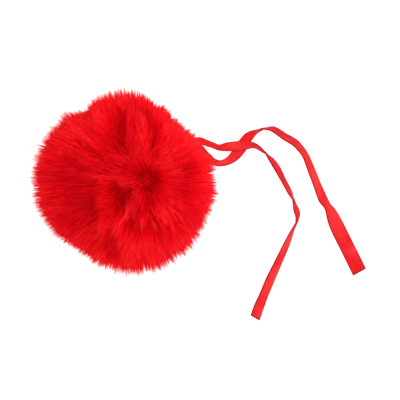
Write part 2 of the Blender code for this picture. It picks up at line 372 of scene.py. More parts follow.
@dataclass(frozen=True)
class RibbonDyeAndPaintedLight:
    """Plain woven ribbon: fine cross ribs, firm dark edges, a heat-sealed end, and painted light, shade,
    sheen and glow.
    """

    body: Colour = (0.54, 0.009, 0.012)
    # lit is a painted sheen: a paler red where the wandering tone is high
    lit: Colour = (0.59, 0.025, 0.026)
    selvedge: Colour = (0.31, 0.006, 0.009)
    sealed: Colour = (0.20, 0.003, 0.005)
    wander: float = 75.0  # how often its painted crumple light and shade wander, to the metre
    lit_from: Span = (0.40, 0.66)  # how far it has wandered where the painted sheen shows
    selvedge_from: Span = (0.78, 0.95)  # from the middle of its width, 0, to its edge, 1
    sealed_from: Span = (0.9 * MM, 0.25 * MM)  # before the end of the tail
    rib: float = 0.34 * MM
    thread: float = 0.28 * MM
    rib_share: float = 0.7  # the rest of the weave is its lengthwise threads
    plain: float = 0.97  # its lightness between ribs
    weave_tone: float = 0.11
    # how far the wandering tone lightens or darkens it: painted crumple light and shade
    wander_tone: float = 0.24
    raised: float = 0.06 * MM
    bump: float = 0.6
    roughness: float = 0.60
    gloss: float = 0.02
    glow: float = 0.42  # painted light: an emission that stands in for light coming through it from behind and lifts its shaded stretches

    def material(self, name: str, width: float, length: float, tones: Sequence[Tone]) -> Material:
        """Mix the finish of one tail.

        Args:
            name: the material's name.
            width: the ribbon's width.
            length: the tail's length, which its map runs up.
            tones: the painted light and shade along that length, in order.

        Returns:
            The material.
        """
        material, board = start_material(name, self.body)
        place = board.wire("ShaderNodeUVMap", uv_map=BAKE_MAP)
        along = board.axis(place, "Y") * length
        across = board.maths("PINGPONG", board.axis(place, "X") * 2.0, 1.0)
        edge = board.maths("ABSOLUTE", across * 2.0 - 1.0)
        ribs = board.maths("SINE", along * (2.0 * math.pi / self.rib))
        threads = board.maths("SINE", across * (2.0 * math.pi * width / self.thread))
        weave = ribs * self.rib_share + ribs * threads * (1.0 - self.rib_share)
        laid_out = board.wire("ShaderNodeCombineXYZ", {"X": across * width, "Y": along})
        # a painted sheen and painted crumple light and shade, wandering along it
        wander = board.wire("ShaderNodeTexNoise", {
            "Vector": laid_out, "Scale": self.wander, "Detail": 2.0, "Roughness": 0.5})
        red = board.mix(board.step(wander, *self.lit_from), self.body, self.lit, "RGBA")
        red = board.mix(board.step(edge, *self.selvedge_from), red, self.selvedge, "RGBA")
        sealed = board.step(along, *(length - before for before in self.sealed_from))
        red = board.mix(sealed, red, self.sealed, "RGBA")
        # painted light and shade along the tail
        light = tones[0].light
        for here, there in zip(tones, tones[1:]):
            light = board.step(along, here.along * MM, there.along * MM) * (there.light - here.light) + light
        shade = (self.plain + weave * self.weave_tone + (wander - 0.5) * self.wander_tone) * light
        red = board.dim(red, shade)
        bumped = board.wire("ShaderNodeBump", {
            "Strength": self.bump, "Distance": self.raised, "Height": weave})
        # painted light: the ribbon glows in its own colour
        finish_material(board, {
            "Base Color": red, "Roughness": self.roughness, "Specular IOR Level": self.gloss,
            "Emission Color": red, "Emission Strength": self.glow, "Normal": bumped})
        return material


def start_material(name: str, colour: Colour) -> tuple[Material, Board]:
    """Start a material.

    Args:
        name: its name.
        colour: its colour in a plain view.

    Returns:
        The material and its board.
    """
    material = bpy.data.materials.new(name)
    material.use_nodes = True
    material.diffuse_color = (*colour, 1.0)
    return material, Board(material.node_tree)


def finish_material(board: Board, ends: dict[str, Value]) -> None:
    """Put the shader on a material's board, with these inputs, and wire it to the output."""
    shader = board.wire("ShaderNodeBsdfPrincipled", ends)
    board.node("ShaderNodeOutputMaterial", {"Surface": shader})


# The ribbon


class Station(NamedTuple):
    """A place that a tail of the ribbon passes, on its way from the ball to its free end."""

    x: float  # millimetres
    y: float  # millimetres
    turn: float  # degrees that the ribbon is rolled about its run: 0 lies flat, 90 stands on its edge
    lift: float  # millimetres from the surface to the ribbon's lower edge


# x, y, turn, lift: passes over the other tail, turns on its edge, and bends sharply down to the lower left.
INNER_ROUTE = tuple(Station(*row) for row in (
    (23, 12.6, 64, 23.3), (29.6, 17, 66, 17.2), (35.4, 20.2, 67, 11.6), (41.9, 18.6, 70, 8.4),
    (45.2, 17.5, 72, 7.6), (48.6, 17.5, 60, 6.9), (54.5, 17.9, 53, 6.2), (59.6, 18.2, 57, 4.2),
    (64.5, 17.7, 76, 1.8), (68.4, 15.3, 86, 0.3), (71.8, 11.6, 108, 0), (74.7, 7.6, 115, 0),
    (78.1, 1.3, 111, 0), (81.8, -5.7, 107, 0), (83.4, -9.3, 88, 0), (84.7, -13.9, 71, 0),
    (85.4, -17.3, 78, 0), (84.5, -20.7, 93, 0), (82.1, -25.8, 107, 0), (79.2, -32.3, 116, 0),
    (75.5, -40.3, 121, 0), (71.7, -48.5, 127, 0), (68.5, -56.1, 127, 0), (66.2, -61.7, 133, 0),
    (64, -67.8, 134, 0),
))

# x, y, turn, lift: passes under, stands on its edge over the hump, pinches, and lies flat at its end.
OUTER_ROUTE = tuple(Station(*row) for row in (
    (24.7, 11.1, 64, 23.7), (30.8, 14.6, 64, 17), (35.2, 16.3, 62, 10.4), (39, 13.6, 60, 5.2),
    (42.3, 10.7, 63, 2), (46.2, 9.5, 69, 0.3), (50.5, 10.6, 62, 0), (54.4, 13.9, 47, 0), (57.4, 18, 42, 0),
    (60.7, 22.7, 53, 0), (64.4, 25.3, 76, 0), (68.7, 26.8, 94, 0), (73.4, 26.3, 114, 0),
    (78.8, 22.8, 118, 0), (81.8, 21.1, 120, 0), (84.9, 18.9, 120, 0), (89, 13.6, 117, 0),
    (92.1, 6.2, 121, 0), (95.1, -1.5, 123, 0), (97.8, -8.2, 129, 0), (100.1, -11.9, 121, 0),
    (101.9, -15.2, 139, 0), (103.8, -19.5, 158, 0), (106.8, -25.8, 180, 0), (110.9, -34, 180, 0),
    (116.3, -45, 180, 0),
))

# along, light: painted light where it leaves the fur and at its narrow waist, painted shade over its bend.
INNER_TONES = tuple(Tone(*row) for row in (
    (22, 1.30), (33, 1.10), (44, 1.04), (52, 0.86), (82, 0.89), (90, 1.06), (100, 0.87), (114, 0.94),
))

# along, light: painted light on either side of where it passes under, painted shade deepest over the hump.
OUTER_TONES = tuple(Tone(*row) for row in (
    (26, 1.04), (32, 1.13), (42, 0.97), (50, 1.09), (58, 1.09), (67, 0.80), (82, 0.82), (100, 0.89),
    (125, 0.96),
))


@dataclass
class RibbonTail:
    """One tail of the ribbon tie, from the gather to its free end."""

    node: str
    route: tuple[Station, ...]
    tones: tuple[Tone, ...]
    cut_slant: float  # degrees that the cut at its end leans from square
    width: float = 7.4 * MM
    thickness: float = 0.34 * MM
    selvedge: float = 0.12 * MM  # how much thicker each edge is
    selvedge_fall: int = 12  # the higher, the narrower that thick edge
    cup: float = 0.16 * MM  # how far the edges curl from the middle where it lies flat
    edge_cup: float = 0.70 * MM  # and how much further where it stands on its edge
    edge_cup_spread: float = 13.0  # degrees of roll to each side over which it does
    flat: float = 180.0  # degrees of roll where it lies on its other face
    step: float = 0.75 * MM
    fine_steps: int = 40
    threads: int = 12  # strips that its width is modelled in
    dye: RibbonDyeAndPaintedLight = field(default_factory=RibbonDyeAndPaintedLight)

    def smooth(self, piece: int, share: float) -> Vector:
        """A point of the smooth curve through the stations.

        Args:
            piece: which stretch between two stations.
            share: how far along that stretch, from 0 to 1.

        Returns:
            The station there, as a vector.
        """
        last = len(self.route) - 1
        before, start, end, after = (
            Vector(self.route[min(max(piece + k, 0), last)]) for k in (-1, 0, 1, 2))
        return 0.5 * (
            2.0 * start
            + (end - before) * share
            + (2.0 * before - 5.0 * start + 4.0 * end - after) * share ** 2
            + (3.0 * start - before - 3.0 * end + after) * share ** 3)

    def even_stations(self) -> list[Station]:
        """Walk the smooth curve.

        Returns:
            Its stations, one step apart.
        """
        fine = [self.smooth(piece, k / self.fine_steps)
                for piece in range(len(self.route) - 1) for k in range(self.fine_steps)]
        fine.append(Vector(self.route[-1]))
        run = [0.0]
        for here, there in zip(fine, fine[1:]):
            run.append(run[-1] + math.dist((here[0], here[1], here[3]), (there[0], there[1], there[3])) * MM)
        count = round(run[-1] / self.step)
        table = np.array([tuple(point) for point in fine])
        at = np.linspace(0.0, run[-1], count + 1)
        columns = [np.interp(at, run, table[:, k]) for k in range(4)]
        columns[2] = np.minimum(columns[2], self.flat)
        columns[3] = np.maximum(columns[3], 0.0)
        return [Station(*row) for row in np.stack(columns, axis=1).tolist()]

    def middles(self, stations: Sequence[Station]) -> list[Vector]:
        """The ribbon's centreline.

        Args:
            stations: its stations.

        Returns:
            The middle of its width at each station.
        """
        half_width, half_thickness = 0.5 * self.width, 0.5 * self.thickness
        found = []
        for station in stations:
            turn = math.radians(station.turn)
            rise = half_width * math.sin(turn) + half_thickness * abs(math.cos(turn))
            found.append(Vector((station.x, station.y, station.lift)) * MM + UP * rise)
        return found

    def section(self, middle: Vector, run: Vector, turn: float, overhang: float) -> list[Vector]:
        """The ribbon's outline at one station.

        Args:
            middle: the middle of its width.
            run: the way it runs.
            turn: its roll, in degrees.
            overhang: how far its high edge is drawn along its run, for a slanting cut.

        Returns:
            Its corners: across its face, and back across its underside.
        """
        left = UP.cross(run).normalized()
        across = left * math.cos(math.radians(turn)) + run.cross(left) * math.sin(math.radians(turn))
        through = run.cross(across)
        off_edge = turn - 0.5 * self.flat
        cup = self.cup + self.edge_cup * math.exp(-(off_edge / self.edge_cup_spread) ** 2)
        places = []
        for side in (1.0, -1.0):
            for k in range(self.threads + 1):
                share = side * (2.0 * k / self.threads - 1.0)
                thick = 0.5 * (self.thickness + self.selvedge * share ** self.selvedge_fall)
                bow = cup * (share ** 2 - 0.5)
                places.append(middle + across * (share * 0.5 * self.width) + run * (overhang * share)
                              + through * (side * thick + bow))
        return places

    def build(self) -> tuple[Object, list[Vector]]:
        """Build the tail.

        Returns:
            Its object, and its centreline.
        """
        stations = self.even_stations()
        middles = self.middles(stations)
        slant = 0.5 * self.width * math.tan(math.radians(self.cut_slant))
        rings = []
        for k, station in enumerate(stations):
            run = (middles[min(k + 1, len(middles) - 1)] - middles[max(k - 1, 0)]).normalized()
            left_over = (len(stations) - 1 - k) * self.step
            overhang = slant * max(0.0, 1.0 - left_over / self.width)
            ring = self.section(middles[k], run, station.turn, overhang)
            lowest = min(place.z for place in ring)
            rings.append([place + UP * (station.lift * MM - lowest) for place in ring])
        mesh = self.skin(rings)
        made = new_object(self.node + "_ribbon", mesh)
        mesh.materials.append(self.dye.material(
            self.node + "_weave", self.width, self.step * len(stations), self.tones))
        return made, middles

    def skin(self, rings: list[list[Vector]]) -> Mesh:
        """Cover the sections with faces, and lay out the ribbon's map.

        Args:
            rings: the corners of each section.

        Returns:
            The mesh: its face on the left half of the map, its underside on the right.
        """
        around = len(rings[0])
        faces, places = [], []
        for k in range(len(rings) - 1):
            for j in range(around):
                after = (j + 1) % around
                here, ahead = k * around, (k + 1) * around
                faces.append((here + j, ahead + j, ahead + after, here + after))
                near, far = j / around, (j + 1) / around
                places.extend(((near, k), (near, k + 1), (far, k + 1), (far, k)))
        last = len(rings) - 1
        faces.append(tuple(range(around)))
        places.extend((j / around, 0.0) for j in range(around))
        faces.append(tuple(last * around + j for j in reversed(range(around))))
        places.extend((j / around, float(last)) for j in reversed(range(around)))
        mesh = new_mesh(self.node + "_ribbon", [tuple(place) for ring in rings for place in ring], faces)
        layer = mesh.uv_layers.new(name=BAKE_MAP)
        layer.data.foreach_set("uv", [n for u, v in places for n in (u, v / last)])
        mesh.shade_smooth()
        return mesh

    def dress(self) -> Object:
        """Build the tail and set it on the frame.

        Returns:
            The finished piece.
        """
        made, middles = self.build()
        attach(made, "root")
        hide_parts(self.node)
        return made


# The fur


class Side(Enum):
    """The sides of the ball that its fur is grown on, one piece each."""

    RIGHT = 0
    LEFT = 1
    BACK = 2
    FRONT = 3
    TOP = 4
    UNDER = 5

    @property
    def hairs(self) -> int:
        """How many hairs grow there."""
        return {Side.TOP: 23700, Side.UNDER: 9000}.get(self, 22500)


class Hollow(NamedTuple):
    """A side of the ball where the fur is pressed in, or stands out."""

    azimuth: float  # degrees, counter-clockwise from +X
    depth: float  # share of the ball's radius; below 0 where the fur stands out instead
    spread: float  # degrees


# azimuth, depth, spread
HOLLOWS = tuple(Hollow(*row) for row in (
    (23, 0.051, 6), (45, 0.112, 18), (52, 0.025, 3), (67, 0.063, 5), (91, -0.018, 3), (112, -0.026, 4),
    (117, 0.104, 9), (130, -0.020, 3), (138, 0.018, 3), (168, -0.020, 18), (194, -0.022, 4),
    (236, 0.079, 21), (288, 0.023, 4), (299, -0.058, 24), (304, 0.027, 6), (353, -0.025, 7),
))


class Parting(NamedTuple):
    """A line on top of the ball, seen from above in millimetres, where the fur falls away to both sides."""

    x: float
    y: float
    to_x: float
    to_y: float
    spread: float
    depth: float  # share of the fur's length that is lost there
    fall: float  # how far the fur lies over, away from the line
    shade: float  # painted shade in the parting, added to a hair's shade, which runs from 0 to 1

    def offsets(self, places: np.ndarray) -> np.ndarray:
        """How far places lie from the line, seen from above.

        Args:
            places: a row for each place.

        Returns:
            The way from the line's nearest point to each place.
        """
        start = np.array((self.x, self.y)) * MM
        run = np.array((self.to_x, self.to_y)) * MM - start
        off = places[:, :2] - start
        share = np.clip(off @ run / (run @ run), 0.0, 1.0)
        return off - share[:, None] * run


# x, y, to_x, to_y, spread, depth, fall, shade
PARTINGS = tuple(Parting(*row) for row in (
    (1.3, -5.4, 0.5, -11, 2.1, 0.62, 0.7, -0.72), (-1.6, 33.5, -0.6, 16.5, 2.6, 0.50, 0.7, -0.52),
    (10.7, 35.6, 16, 27, 2, 0.20, 0.3, -0.32), (16.2, 26, 16.4, 14.5, 2, 0.30, 0.4, -0.32),
    (-19, 18, -6, 10.5, 1.8, 0.12, 0.2, -0.20), (7.4, -17, 7.4, -20, 1.8, 0.40, 0.5, -0.50),
    (16, -7, 16, -20, 1.8, 0.28, 0.4, -0.22), (-8.5, -29.5, -4, -37.5, 2.8, 0.35, 0.5, -0.35),
    (-9, -3, -10, -21, 2.5, 0.10, 0.35, 0),
))


class Patch(NamedTuple):
    """A patch of painted light or shade on the ball's hair, seen from above in millimetres."""

    x: float
    y: float
    spread: float
    shade: float  # painted light where above 0 and painted shade where below, added to a hair's shade, which runs from 0 to 1


# x, y, spread, shade
PATCHES = tuple(Patch(*row) for row in (
    (-28, 4, 11, -0.26), (-31, 8, 6, -0.12), (-24, -16, 11, -0.36), (-24, 15, 5, -0.12),
    (-19, -18, 5, -0.18), (-13.5, -4.5, 4, -0.14), (-11, -4, 2.5, -0.16), (9.5, -6, 2.2, -0.20),
    (-7, -13, 4, 0.20), (-12, -26.5, 4, 0.12), (-4.3, -3.6, 2.2, 0.50), (-0.5, 7, 4, -0.28),
    (4.3, -4.8, 2.3, 0.90), (12, 0.5, 5.5, -0.22), (10.8, -0.2, 2.3, 0.55), (13.5, 8, 3, -0.12),
    (2.8, -19.5, 2.3, 0.36), (7, -23.5, 2.5, 0.28), (17.6, -21, 3.5, 0.56), (4.5, 30, 4, -0.26),
    (4.5, 37, 4, -0.26), (9, 22, 3, 0.10), (18, 31, 4, -0.22), (-11, 27, 4.5, -0.28), (21, 4, 4, -0.20),
    (19.5, -8.5, 5, -0.26), (11, -28.5, 3.5, -0.40), (22, -29, 5, -0.12), (0, -28, 3, -0.14),
    (29, 14, 5, -0.16), (36, 6, 6, -0.30), (34, -6, 7, -0.38), (33, -21, 7, -0.20), (19, -32, 7, -0.16),
))


class Step(NamedTuple):
    """A soft step to a new value, from low to high."""

    value: float
    low: float
    high: float


@dataclass
class Pelt:
    """The ball's pelt, and how the fur lies on it.

    Spreads and spans are degrees from the crown over which something fades or sets in, unless a comment says
    otherwise.
    """

    middle: Vector
    reach: float  # middle of the ball to the tips of its fur
    root_share: float = 0.70  # of the reach: where the hairs are rooted
    crown_raise: float = 0.10  # how much higher they are rooted at the crown
    crown_raise_spread: float = 15.0
    packed: float = 0.22  # how far up the hairs the underfur fills
    underfur_rest: float = 1.2 * MM  # how high over the surface the underfur keeps
    crown: Vector = field(default_factory=lambda: Vector((0.35, 0.015, 1.0)).normalized())
    longest_share: float = 0.45  # of the reach: the longest that a hair gets
    crown_thick: float = 1.5  # how much thicker the fur grows at its crown
    crown_thick_spread: float = 14.0
    least_loose: float = 0.05  # how far hairs stray from their way
    crown_loose: float = 0.18  # and how much further at the crown
    crown_loose_spread: float = 13.0
    crown_hold: float = 0.12  # how firmly tufts gather hairs at the crown
    holds: tuple[Step, ...] = (Step(0.44, 5.0, 22.0), Step(0.91, 35.0, 80.0))  # around it, and on the sides
    rings: int = 6  # times that the sphere's faces are divided
    upright: float = 0.85  # how far the hair at the crown stands up and not out of the ball
    upright_to: Span = (6.0, 32.0)
    leans: tuple[Step, ...] = (  # degrees that the hair lies over: near the crown, on the sides and below
        Step(66.0, 4.0, 8.0), Step(22.0, 25.0, 95.0), Step(5.0, 100.0, 140.0))
    root_lean: float = 0.08  # of the lean: how much of it the root has at the crown
    more_root_lean: float = 0.22  # and how much more away from the crown
    root_lean_from: Span = (12.0, 40.0)
    beside: float = 2.2  # of a parting's spread: how far the fur beside it falls over
    flat_line: float = 0.4  # of its spread: where the fall has grown to its full strength
    root_fall: float = 0.5  # of the fall: how much of it the root has
    plain_shade: float = 0.82
    rim_shade: float = 0.09  # painted light: how much lighter the fur is at its rim
    rim_shade_from: Span = (4.0 * MM, 36.0 * MM)  # seen from above, from the ball's middle
    waist_shade: float = 0.12  # painted shade: how much darker it is round its widest place
    waist: float = 0.35  # of the ball's radius: how high the waist reaches
    mark_fade: float = 2.0  # how fast a parting's or a patch's painted light and shade set in above the waist

    def __post_init__(self) -> None:
        """Divide a sphere and work out how the fur lies at each of its points."""
        self.ways, self.faces = icosphere(self.rings)
        self.reaches = self.pressed_reach()
        toward = self.ways @ np.array(self.crown)
        self.off_crown = np.degrees(np.arccos(np.clip(toward, -1.0, 1.0)))
        raised = self.root_share + self.crown_raise * fade(self.off_crown, self.crown_raise_spread)
        self.roots = self.ways * (self.reach * raised)[:, None]
        self.combs, self.stands = self.lie()
        lost = self.part()
        self.lengths = np.minimum(self.full_lengths(), self.reach * self.longest_share) * (1.0 - lost)
        self.shades = self.shade()

    def pressed_reach(self) -> np.ndarray:
        """Press the ball's sides in.

        Returns:
            The distance from the middle of the ball to its fur's tips, at each point.
        """
        azimuth = np.degrees(np.arctan2(self.ways[:, 1], self.ways[:, 0]))
        level = 1.0 - self.ways[:, 2] ** 2
        reaches = np.full(len(self.ways), self.reach)
        for hollow in HOLLOWS:
            off = (azimuth - hollow.azimuth + 180.0) % 360.0 - 180.0
            reaches -= self.reach * hollow.depth * level * fade(off, hollow.spread)
        return reaches

    def lie(self) -> tuple[np.ndarray, np.ndarray]:
        """How the hair lies.

        Returns:
            The way its outer half points, and the way its root stands, at each point.
        """
        crown = np.array(self.crown)
        away = self.ways * (self.ways @ crown)[:, None] - crown
        away /= np.maximum(norms(away), 1e-6)[:, None]
        angle = self.off_crown
        near = self.upright * (1.0 - smooth_step(angle, *self.upright_to))[:, None]
        upright = unit(self.ways * (1.0 - near) + np.array(UP) * near)
        lean = np.radians(smooth_steps(angle, 0.0, self.leans))[:, None]
        early = self.root_lean + self.more_root_lean * smooth_step(angle, *self.root_lean_from)
        early = early[:, None] * lean
        combs = unit(upright * np.cos(lean) + away * np.sin(lean))
        stands = unit(upright * np.cos(early) + away * np.sin(early))
        return combs, stands

    def full_lengths(self) -> np.ndarray:
        """Work out how long a hair is when its tip is at the ball's reach.

        Returns:
            That length at each point.
        """
        half = 0.5 * (self.combs + self.stands)
        squared = (half ** 2).sum(1)
        ahead = (self.roots * half).sum(1)
        missing = (self.roots ** 2).sum(1) - self.reaches ** 2
        return (-ahead + np.sqrt(ahead ** 2 - squared * missing)) / squared

    def part(self) -> np.ndarray:
        """Let the fur fall to both sides of the partings.

        Returns:
            The share of its length that it loses at each point.
        """
        over = self.ways * self.reaches[:, None]
        top = np.clip(self.ways[:, 2], 0.0, 1.0)
        lost = np.zeros(len(self.ways))
        for parting in PARTINGS:
            off = parting.offsets(over)
            far = norms(off)
            near = fade(far, parting.spread * MM) * top
            beside = fade(far, self.beside * parting.spread * MM) * top
            push = np.zeros_like(self.combs)
            push[:, :2] = off / np.maximum(far, 1e-6)[:, None]
            push -= self.ways * (push * self.ways).sum(1)[:, None]
            strength = parting.fall * beside * np.minimum(far / (self.flat_line * parting.spread * MM), 1.0)
            self.combs = unit(self.combs + push * strength[:, None])
            self.stands = unit(self.stands + push * (self.root_fall * strength)[:, None])
            lost = np.maximum(lost, parting.depth * near)
        return lost

    def shade(self) -> np.ndarray:
        """Shade the hair by where its tip lies, with painted light at its rim, painted shade round its waist
        and in the partings, and painted light and shade in the patches.

        Returns:
            Its shade at each point, from 0, dark, to 1, light.
        """
        tips = self.roots + 0.5 * (self.combs + self.stands) * self.lengths[:, None] + np.array(self.middle)
        # painted light at the rim, painted shade round the waist
        outer = smooth_step(norms(tips[:, :2]), *self.rim_shade_from)
        shades = self.plain_shade + self.rim_shade * outer
        shades -= self.waist_shade * fade(self.ways[:, 2], self.waist)
        top = np.clip(self.ways[:, 2] * self.mark_fade, 0.0, 1.0)
        # painted shade in the partings, painted light and shade in the patches
        for parting in PARTINGS:
            shades += parting.shade * top * fade(norms(parting.offsets(tips)), parting.spread * MM)
        for patch in PATCHES:
            off = tips[:, :2] - np.array((patch.x, patch.y)) * MM
            shades += patch.shade * top * fade(norms(off), patch.spread * MM)
        return shades

    def root_object(self) -> Object:
        """Make the surface that the hairs are rooted on.

        Returns:
            Its object, with how the hairs lie as its attributes.
        """
        places = self.roots + np.array(self.middle)
        mesh = new_mesh("pelt_roots", places.tolist(), self.faces.tolist())
        for name, rows in (("stand", self.stands), ("comb", self.combs)):
            mesh.attributes.new(name, "FLOAT_VECTOR", "POINT").data.foreach_set(
                "vector", rows.astype(np.float32).ravel())
        thick = 1.0 + self.crown_thick * fade(self.off_crown, self.crown_thick_spread)
        tufted = smooth_steps(self.off_crown, self.crown_hold, self.holds)
        loose = self.least_loose + self.crown_loose * fade(self.off_crown, self.crown_loose_spread)
        for name, column in (("reach", self.lengths), ("shade", self.shades), ("thick", thick),
                             ("hold", tufted), ("loose", loose)):
            mesh.attributes.new(name, "FLOAT", "POINT").data.foreach_set("value", column.astype(np.float32))
        centres = self.ways[self.faces].mean(axis=1)
        axis = np.abs(centres).argmax(axis=1)
        behind = np.take_along_axis(centres, axis[:, None], axis=1)[:, 0] < 0.0
        sides = (axis * 2 + behind).astype(np.int32)
        mesh.attributes.new("side", "INT", "FACE").data.foreach_set("value", sides)
        return new_object("pelt_roots", mesh)

    def underfur(self) -> Object:
        """Fill the ball between the hairs with woolly underfur.

        Returns:
            The finished piece.
        """
        share, half = self.packed, 0.5 * self.lengths[:, None]
        inside = self.roots + half * (self.stands * (2.0 * share - share ** 2) + self.combs * share ** 2)
        places = self.ways * norms(inside)[:, None] + np.array(self.middle)
        places[:, 2] = np.maximum(places[:, 2], self.underfur_rest)
        mesh = new_mesh("underfur", places.tolist(), self.faces.tolist())
        mesh.shade_smooth()
        mesh.materials.append(UnderfurDyeAndPaintedLight().material())
        made = new_object("underfur", mesh)
        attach(made, "root")
        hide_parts("fur_ball")
        return made


@dataclass(frozen=True)
class Habit:
    """How hairs keep to their tufts and tufts to their locks, and how each hair bends and tapers."""

    locks_at_most: float = 1e6  # to the square metre, where their spacing allows it
    tufts_at_most: float = 1e8
    lock_pull: float = 0.27  # of a place's hold: how far a lock draws the tips of its tufts together
    lock_tint: float = 0.11  # how much lighter or darker a whole lock may be
    tuft_tint: float = 0.05
    tuft_stray: float = 1.4  # how much further tufts stray than hairs do
    spike_rarity: float = 3.0  # the higher, the fewer tufts stand far out
    spike_fullness: float = 0.7  # how much less the hairs of such a tuft are thinned
    stray_freedom: float = 0.8  # how much less a fly-away hair keeps to its tuft
    stray_reach: float = 0.05  # of its length: how much further it stands out
    bend_hold: float = 0.4  # of the tip's hold: how far a hair's bend keeps to its tuft's
    thinning_rarity: float = 0.6  # the higher, the fewer hairs are much thinned
    crowding: float = 1.35  # the higher, the closer a blade's points lie towards its tip
    taper: float = 0.75  # of its breadth: how much of it a hair loses towards its tip
    splay: float = 0.6  # how far a hair slides outwards for each bit that the surface lifts it


def grow_fur_tree(habit: Habit) -> NodeTree:
    """Build the tree that grows guard hair on one side of the pelt.

    Locks gather tufts, and tufts gather hairs. Each hair is a tapering blade that bends from the way its root
    stands to the way its tip is combed, keeps off the surface below and leaves room for the ribbon.

    Args:
        habit: how hairs, tufts and locks keep together.

    Returns:
        The tree.
    """
    sizes = ("Density", "Lock Spacing", "Tuft Spacing", "Hair Width", "Fly-away", "Thinning", "Overshoot",
             "Spikes")
    board = GrowingBoard("grow_fur", {
        "Pelt": "Geometry", "Side": "Int", "Segments": "Int", "Seed": "Int", **dict.fromkeys(sizes, "Float"),
        "Middle": "Vector", "Ribbon One": "Object", "Ribbon Two": "Object", "Finish": "Material"})
    given = board.inputs
    place = board.wire("GeometryNodeInputPosition")
    stand, comb = board.read("stand"), board.read("comb")
    reach, loose, held = board.number("reach"), board.number("loose"), board.number("hold")

    def roots(method: str, ends: dict[str, Value]) -> Wire:
        """Points spread over the pelt."""
        return board.wire("GeometryNodeDistributePointsOnFaces", {"Mesh": given["Pelt"], **ends},
                          distribute_method=method)

    def nearest(geometry: Wire) -> Wire:
        """The index of the nearest of these points."""
        return board.wire("GeometryNodeSampleNearest", {"Geometry": geometry, "Sample Position": place})

    # Locks
    locks = roots("POISSON", {"Distance Min": given["Lock Spacing"], "Density Max": habit.locks_at_most,
                              "Seed": given["Seed"]})
    uneven = 1.0 + board.chance(Draw.LOCK_LENGTH)
    locks = board.store(locks, {"lock_tip": place + (stand + comb) * (reach * uneven * 0.5),
                                "lock_shade": board.chance(Draw.LOCK_SHADE)})

    # Tufts
    tufts = roots("POISSON", {"Distance Min": given["Tuft Spacing"], "Density Max": habit.tufts_at_most,
                              "Seed": given["Seed"] + 1})
    lock = nearest(locks)
    lock_tip = board.take(locks, "lock_tip", lock)
    lock_shade = board.take(locks, "lock_shade", lock, "FLOAT")
    length = reach * (1.0 + board.chance(Draw.TUFT_LENGTH))
    bend = place + stand * (length * 0.5)
    spike = board.chance(Draw.TUFT_SPIKE) ** habit.spike_rarity
    tip = bend + comb * (length * 0.5 + reach * spike * given["Spikes"])
    tip = tip + board.chance(Draw.TUFT_WAY, every_way=True) * (reach * loose * habit.tuft_stray)
    tufts = board.store(tufts, {
        "tuft_bend": bend, "tuft_tip": board.mix(held * habit.lock_pull, tip, lock_tip, "VECTOR"),
        "tuft_spike": spike,
        "tuft_shade": board.chance(Draw.TUFT_SHADE) * habit.tuft_tint + lock_shade * habit.lock_tint})

    # Hairs
    here = board.wire("FunctionNodeCompare", {"A": board.read("side", "INT"), "B": given["Side"]},
                      data_type="INT", operation="EQUAL")
    hairs = roots("RANDOM", {"Selection": here, "Density": given["Density"] * board.number("thick"),
                             "Seed": given["Seed"] + 2})
    tuft = nearest(tufts)
    tuft_bend, tuft_tip = (board.take(tufts, name, tuft) for name in ("tuft_bend", "tuft_tip"))
    tuft_shade, tuft_spike = (board.take(tufts, name, tuft, "FLOAT") for name in ("tuft_shade", "tuft_spike"))
    strays = board.wire("FunctionNodeCompare", {"A": board.chance(Draw.STRAY), "B": given["Fly-away"]},
                        operation="LESS_THAN")
    hold = held * board.chance(Draw.HAIR_HOLD) * (1.0 - strays * habit.stray_freedom)
    length = reach * (1.0 + board.chance(Draw.HAIR_LENGTH))
    bend = place + stand * (length * 0.5)
    tip = bend + comb * (length * 0.5) + board.chance(Draw.HAIR_WAY, every_way=True) * (reach * loose)
    bend = board.mix(hold * habit.bend_hold, bend, tuft_bend, "VECTOR")
    tip = board.mix(hold, tip, tuft_tip, "VECTOR")
    thinned = board.chance(Draw.HAIR_THINNING) ** habit.thinning_rarity * given["Thinning"]
    loss = thinned * (1.0 - tuft_spike * habit.spike_fullness)
    tip = tip + comb * (reach * (given["Overshoot"] + strays * habit.stray_reach - loss))
    # each hair's shade: the painted light and shade of its place, with its tuft's, lock's and own tone
    tint = board.number("shade") + tuft_shade + board.chance(Draw.HAIR_SHADE)
    hairs = board.store(hairs, {
        "root": place, "bend": bend, "tip": tip, "turn": board.chance(Draw.HAIR_TURN),
        "rest": board.chance(Draw.HAIR_REST),
        "tint": board.maths("MINIMUM", board.maths("MAXIMUM", tint, 0.0), 1.0)})

    # Room for the ribbon
    ribbons = board.node("GeometryNodeJoinGeometry")
    for label in ("Ribbon One", "Ribbon Two"):
        found = board.wire("GeometryNodeObjectInfo", {"Object": given[label], "As Instance": False},
                           "Geometry")
        board.tree.links.new(found.socket, ribbons.inputs[0])
    ribbon = Wire(board, ribbons.outputs[0])
    root, bend, tip = board.read("root"), board.read("bend"), board.read("tip")

    def meets(start: Wire, end: Wire) -> Wire:
        """Whether the ribbon lies between two points."""
        way = end - start
        return board.wire("GeometryNodeRaycast", {
            "Target Geometry": ribbon, "Source Position": start, "Ray Direction": way,
            "Ray Length": board.maths("LENGTH", way)}, "Is Hit")

    crossed = board.wire("FunctionNodeBooleanMath", {0: meets(root, bend), 1: meets(bend, tip)},
                         operation="OR")
    hairs = board.wire("GeometryNodeDeleteGeometry", {"Geometry": hairs, "Selection": crossed})

